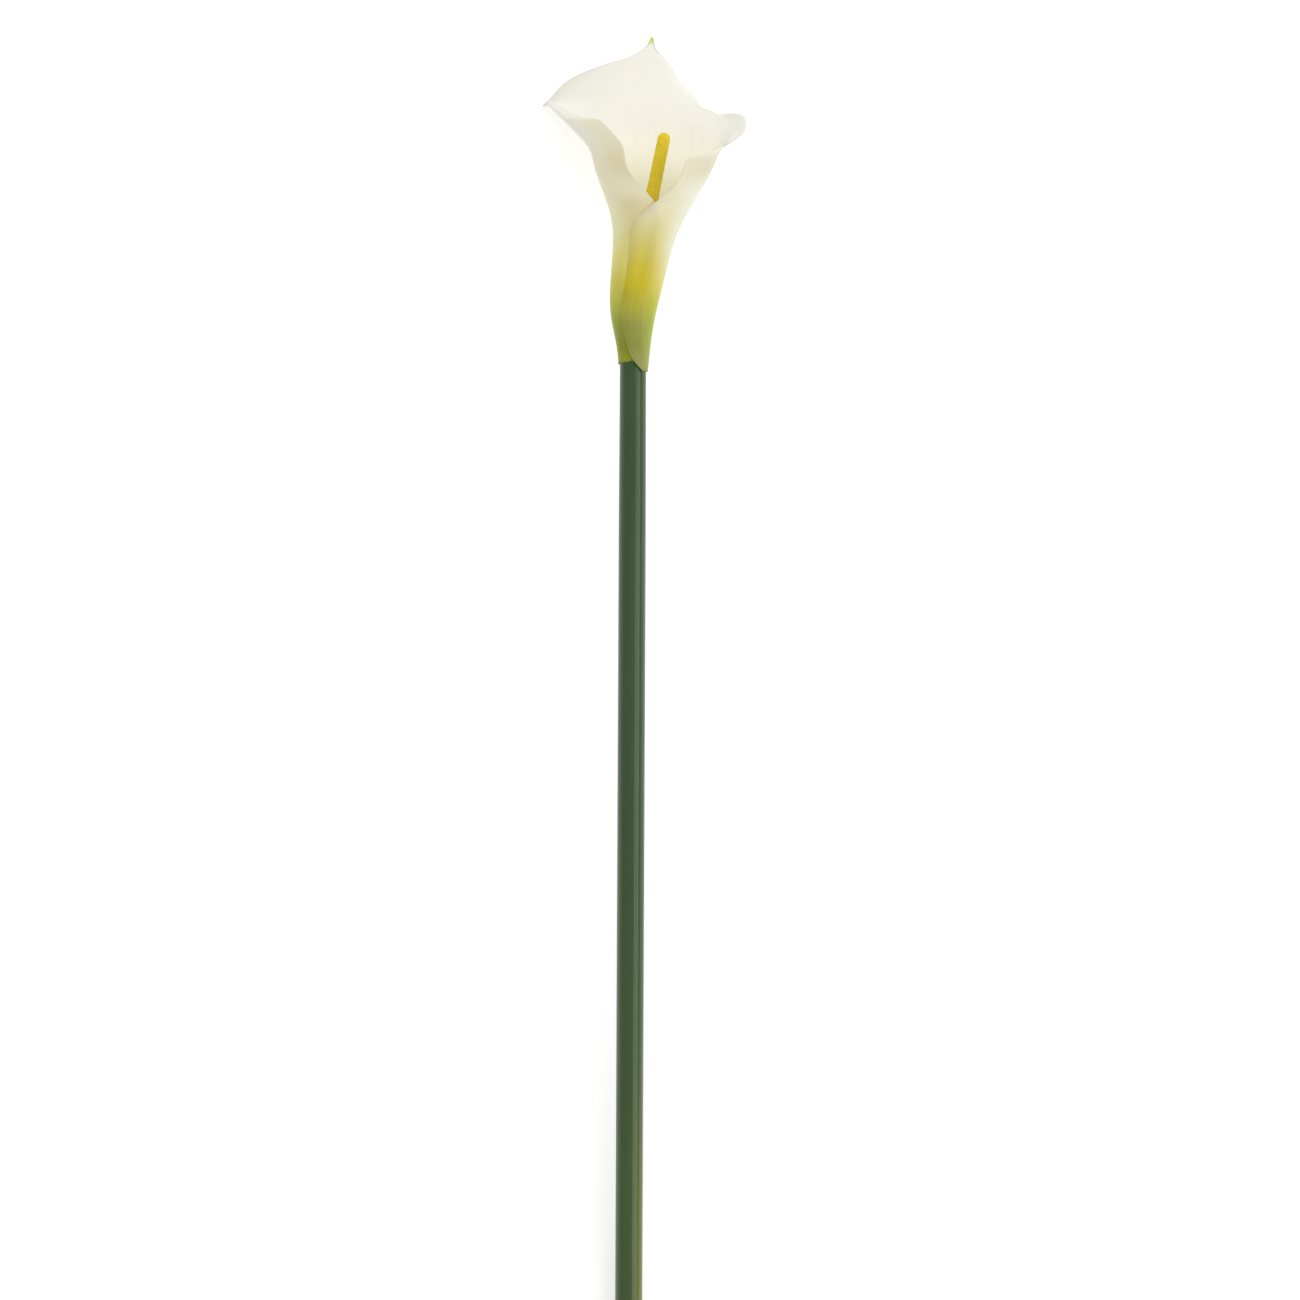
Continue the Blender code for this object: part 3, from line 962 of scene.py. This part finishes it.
# %% Stem: the tree
stem_tree, g_in, g_out = new_group(
    "GeometryNodeTree",
    "ribbed_stem",
    {
        "Line": ("Geometry", None),
        "Radius": ("Float", 0.006),
        "Neck radius": ("Float", 0.006),
        "Neck share": ("Float", 0.1),
        "Flare": ("Float", 0.0005),
        "Flare share": ("Float", 0.01),
        "Ribs": ("Int", 30),
        "Rib depth": ("Float", 0.005),
        "Skin": ("Material", None),
        "Cut face": ("Material", None),
    },
    {"Mesh": "Geometry"},
)
line = add(stem_tree, "GeometryNodeMeshToCurve", None, {"Mesh": g_in.outputs["Line"]}).outputs[0]
way_down = add(stem_tree, "GeometryNodeSplineParameter").outputs["Factor"]
widths = add(
    stem_tree, "ShaderNodeMapRange", {"interpolation_type": "SMOOTHSTEP"},
    {
        "Value": way_down, "From Max": g_in.outputs["Neck share"],
        "To Min": g_in.outputs["Neck radius"], "To Max": g_in.outputs["Radius"],
    },
).outputs[0]
flare = add(
    stem_tree, "ShaderNodeMapRange", {"interpolation_type": "SMOOTHSTEP"},
    {
        "Value": way_down, "From Max": g_in.outputs["Flare share"],
        "To Min": g_in.outputs["Flare"], "To Max": 0.0,
    },
).outputs[0]
widths = maths(stem_tree, "ADD", widths, flare)
circle = add(
    stem_tree, "GeometryNodeCurvePrimitiveCircle", None, {"Resolution": 160, "Radius": 1.0},
).outputs[0]
round_share = add(stem_tree, "GeometryNodeSplineParameter").outputs["Factor"]
wave = maths(stem_tree, "SINE", product(stem_tree, round_share, g_in.outputs["Ribs"], 2 * math.pi))
ribbed = maths(stem_tree, "ADD", 1.0, product(stem_tree, wave, g_in.outputs["Rib depth"]))
spot = add(stem_tree, "GeometryNodeInputPosition").outputs[0]
section_curve = add(
    stem_tree, "GeometryNodeSetPosition", None,
    {"Geometry": circle, "Position": scaled(stem_tree, spot, ribbed)},
).outputs[0]
rod = add(
    stem_tree, "GeometryNodeCurveToMesh", None,
    {"Curve": line, "Profile Curve": section_curve, "Scale": widths, "Fill Caps": True},
).outputs[0]

# %% Stem: the rim and the pith of the cut end
# square metres that only an end cap exceeds, then steps of (lift in metres, scale)
CAP_AREA = 0.00005
RIM_STEPS = ((0.00012, 0.985), (0.00006, 0.955))
PITH_STEPS = ((-0.00002, 0.97), (-0.00012, 0.95), (-0.00008, 0.6), (0.00003, 0.4))


def step_in(tree, mesh, faces, lift, shrink):
    """Extrudes the faces by lift, scales what comes out and gives the mesh and the new faces."""
    step = add(
        tree, "GeometryNodeExtrudeMesh", {"mode": "FACES"},
        {"Mesh": mesh, "Selection": faces, "Offset Scale": lift, "Individual": True},
    )
    scaled_in = add(
        tree, "GeometryNodeScaleElements", {"domain": "FACE"},
        {"Geometry": step.outputs["Mesh"], "Selection": step.outputs["Top"], "Scale": shrink},
    )
    return scaled_in.outputs[0], step.outputs["Top"]


area = add(stem_tree, "GeometryNodeInputMeshFaceArea").outputs[0]
current, caps = rod, maths(stem_tree, "GREATER_THAN", area, CAP_AREA)
for lift, shrink in RIM_STEPS:
    current, caps = step_in(stem_tree, current, caps, lift, shrink)
current = add(
    stem_tree, "GeometryNodeStoreNamedAttribute", {"data_type": "BOOLEAN", "domain": "FACE"},
    {"Geometry": current, "Selection": caps, "Name": "pith", "Value": True},
).outputs[0]
for lift, shrink in PITH_STEPS:
    current, caps = step_in(stem_tree, current, caps, lift, shrink)
smooth = add(stem_tree, "GeometryNodeSetShadeSmooth", None, {"Geometry": current}).outputs[0]
is_pith = add(stem_tree, "GeometryNodeInputNamedAttribute", {"data_type": "BOOLEAN"}, {"Name": "pith"})
whole = add(stem_tree, "GeometryNodeRealizeInstances", None, {"Geometry": smooth}).outputs[0]
skinned = add(
    stem_tree, "GeometryNodeSetMaterial", None, {"Geometry": whole, "Material": g_in.outputs["Skin"]},
).outputs[0]
dressed = add(
    stem_tree, "GeometryNodeSetMaterial", None,
    {"Geometry": skinned, "Selection": is_pith.outputs["Attribute"], "Material": g_in.outputs["Cut face"]},
).outputs[0]
stem_tree.links.new(dressed, g_out.inputs["Mesh"])

# %% [markdown]
# The skin is dark and waxy, so it takes a low roughness and shows one clean
# streak. Towards the cut end it is older and yellower. On one side there it is
# painted lighter and yellower still, a painted highlight. The pith is pale and
# full of pores.

# %% Stem: materials of the skin and of the cut end
OLDER_ALONG, OLDER_SHARE = (0.05, -0.3), 0.45
HIGHLIGHT_PAINT_ALONG, HIGHLIGHT_PAINT_ACROSS, HIGHLIGHT_PAINT_SHARE = (-0.10, -0.26), (-0.0065, -0.0015), 0.6
PORE_SCALE, PORE_STEP = 1800.0, (0.1, 0.5)

stem_skin, tree, shader = new_material("stem_skin", 0.24, Specular_IOR_Level=0.5)
here = add(tree, "ShaderNodeTexCoord").outputs["Object"]
stem_place = add(tree, "ShaderNodeMapping", None, {"Vector": here, "Rotation": (-HEAD_LIFT, 0, 0)}).outputs[0]
stem_marks = skin_on(tree, stem_place, vein_spacing=420.0, mottle_scale=38.0, grain_scale=2400.0)
green = mix(tree, stem_marks.outputs["Tone"], screen(38, 66, 30), screen(54, 86, 44))
apart = add(tree, "ShaderNodeSeparateXYZ", None, {"Vector": here})
lengthwise, crosswise = apart.outputs["Y"], apart.outputs["X"]
older = product(tree, between(tree, lengthwise, *OLDER_ALONG), OLDER_SHARE)
green = mix(tree, older, green, screen(72, 92, 36))
# painted highlight: one side of the stem towards the cut end is mixed lighter and yellower
painted_highlight_share = product(
    tree, between(tree, lengthwise, *HIGHLIGHT_PAINT_ALONG), between(tree, crosswise, *HIGHLIGHT_PAINT_ACROSS), HIGHLIGHT_PAINT_SHARE,
)
tree.links.new(mix(tree, painted_highlight_share, green, screen(126, 130, 36)), shader.inputs["Base Color"])
bump(tree, shader, stem_marks.outputs["Height"], 0.00005, 0.5)

pith, tree, shader = new_material("stem_pith", 0.55, Subsurface_Weight=0.3, Subsurface_Scale=0.001)
here = add(tree, "ShaderNodeTexCoord").outputs["Object"]
pores = add(tree, "ShaderNodeTexVoronoi", None, {"Vector": here, "Scale": PORE_SCALE}).outputs["Distance"]
flesh = mix(tree, between(tree, pores, *PORE_STEP), screen(150, 166, 104), screen(206, 214, 170))
tree.links.new(flesh, shader.inputs["Base Color"])
bump(tree, shader, pores, 0.00015, 0.7)

# %% Stem: grow it
STEM_RINGS = 150
RINGS_CLOSE_UP = 1.5
NECK_SHARE, STEM_FLARE, FLARE_SHARE = 0.17, 0.85, 0.013
RIBS, RIB_DEPTH = 34, 0.004
way = np.linspace(0, 1, STEM_RINGS) ** RINGS_CLOSE_UP
stem_heights = STEM_TOP + (STEM_END - STEM_TOP) * way
stem_points = np.column_stack([STEM_DRIFT * way, np.zeros(STEM_RINGS), stem_heights])
stem = grow(
    chain("stem_line", laid(stem_points)),
    stem_tree,
    {
        "Radius": STEM_RADIUS * MM,
        "Neck radius": NECK_RADIUS * MM,
        "Neck share": NECK_SHARE,
        "Flare": STEM_FLARE * MM,
        "Flare share": FLARE_SHARE,
        "Ribs": RIBS,
        "Rib depth": RIB_DEPTH,
        "Skin": stem_skin,
        "Cut face": pith,
    },
    "stem_rod",
)
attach(stem, "root")
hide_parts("stem")
print("stem faces:", len(stem.data.polygons))

# %% [markdown]
# ## The table, the light and the camera
#
# The flower lies on a plain white table under a bright, soft studio light. The
# table gives off a little light of its own, which keeps it white and nearly
# free of shadow. The main panel hangs beyond the flower's head. A smaller one on
# the right, with its long side along the stem, gives the stem its even streak.
# The camera looks straight down on the open front, square to the stem, from far
# away through a long lens, so that the raised lips keep their true proportions.

# %% Table
FLOOR_SIZE = 30.0
TABLE_WHITE, TABLE_GLOW, STUDIO_GLOW = 0.86, 0.40, 0.55
floor_mesh = bpy.data.meshes.new("table")
half = FLOOR_SIZE / 2
floor_corners = [(-half, -half, 0), (half, -half, 0), (half, half, 0), (-half, half, 0)]
floor_mesh.from_pydata(floor_corners, [], [(0, 1, 2, 3)])
floor = bpy.data.objects.new("table", floor_mesh)
bpy.context.scene.collection.objects.link(floor)
table_paint, tree, shader = new_material("table_white", 0.7, Specular_IOR_Level=0.2)
shader.inputs["Base Color"].default_value = (TABLE_WHITE, TABLE_WHITE, TABLE_WHITE, 1)
shader.inputs["Emission Color"].default_value = (1, 1, 1, 1)
shader.inputs["Emission Strength"].default_value = TABLE_GLOW
floor_mesh.materials.append(table_paint)
floor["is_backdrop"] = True

# %% Light
world = bpy.data.worlds.new("studio")
bpy.context.scene.world = world
world.use_nodes = True
world.node_tree.nodes["Background"].inputs["Color"].default_value = (1, 1, 1, 1)
world.node_tree.nodes["Background"].inputs["Strength"].default_value = STUDIO_GLOW


def panel(name, place, aim, width, length, watts):
    """A soft rectangular light at place, turned to aim."""
    data = bpy.data.lights.new(name, "AREA")
    data.shape = "RECTANGLE"
    data.size, data.size_y, data.energy = width, length, watts
    light = bpy.data.objects.new(name, data)
    light.location = place
    light.rotation_euler = (Vector(aim) - Vector(place)).to_track_quat("-Z", "Y").to_euler()
    light.visible_camera = False
    bpy.context.scene.collection.objects.link(light)
    return light


flower_middle = laid([(8.0, 0.0, 60.0)])[0]
panel("key_panel", (0.2, 1.15, 1.9), flower_middle, width=2.0, length=1.2, watts=18.5)
panel("streak_panel", (0.90, -0.13, 0.82), (0, -0.13, 0.03), width=0.8, length=0.5, watts=3.1)

# %% Camera
LENS, SENSOR = 1000.0, 36.0
FRAME_WIDTH = 583.8
FRAME_MIDDLE = (7.6, 0.0, -124.9)
aim = Vector(laid([FRAME_MIDDLE])[0])
sideways, front, stemwise = (Vector(turned([axis])[0]).normalized() for axis in np.eye(3))
camera_data = bpy.data.cameras.new("camera")
camera_data.lens, camera_data.sensor_width = LENS, SENSOR
camera = bpy.data.objects.new("camera", camera_data)
bpy.context.scene.collection.objects.link(camera)
distance = FRAME_WIDTH * MM * LENS / SENSOR
facing = Matrix((sideways, stemwise, front)).transposed().to_4x4()
camera.matrix_world = Matrix.Translation(aim + front * distance) @ facing
bpy.context.scene.camera = camera
bpy.context.scene.view_settings.view_transform = "Standard"
print("camera is %.2f m away" % distance)

# %% [markdown]
# ## The two boxes
#
# The plain solids' box and the finished flower's box are written side by side,
# so that any growth past the plain solids shows at once.

# %% Write the two boxes and finish
visual_box = [list(corner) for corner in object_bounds()]
for name, box in (("plain", cad_box), ("finished", visual_box)):
    print(name, [[round(value / MM, 2) for value in corner] for corner in box])
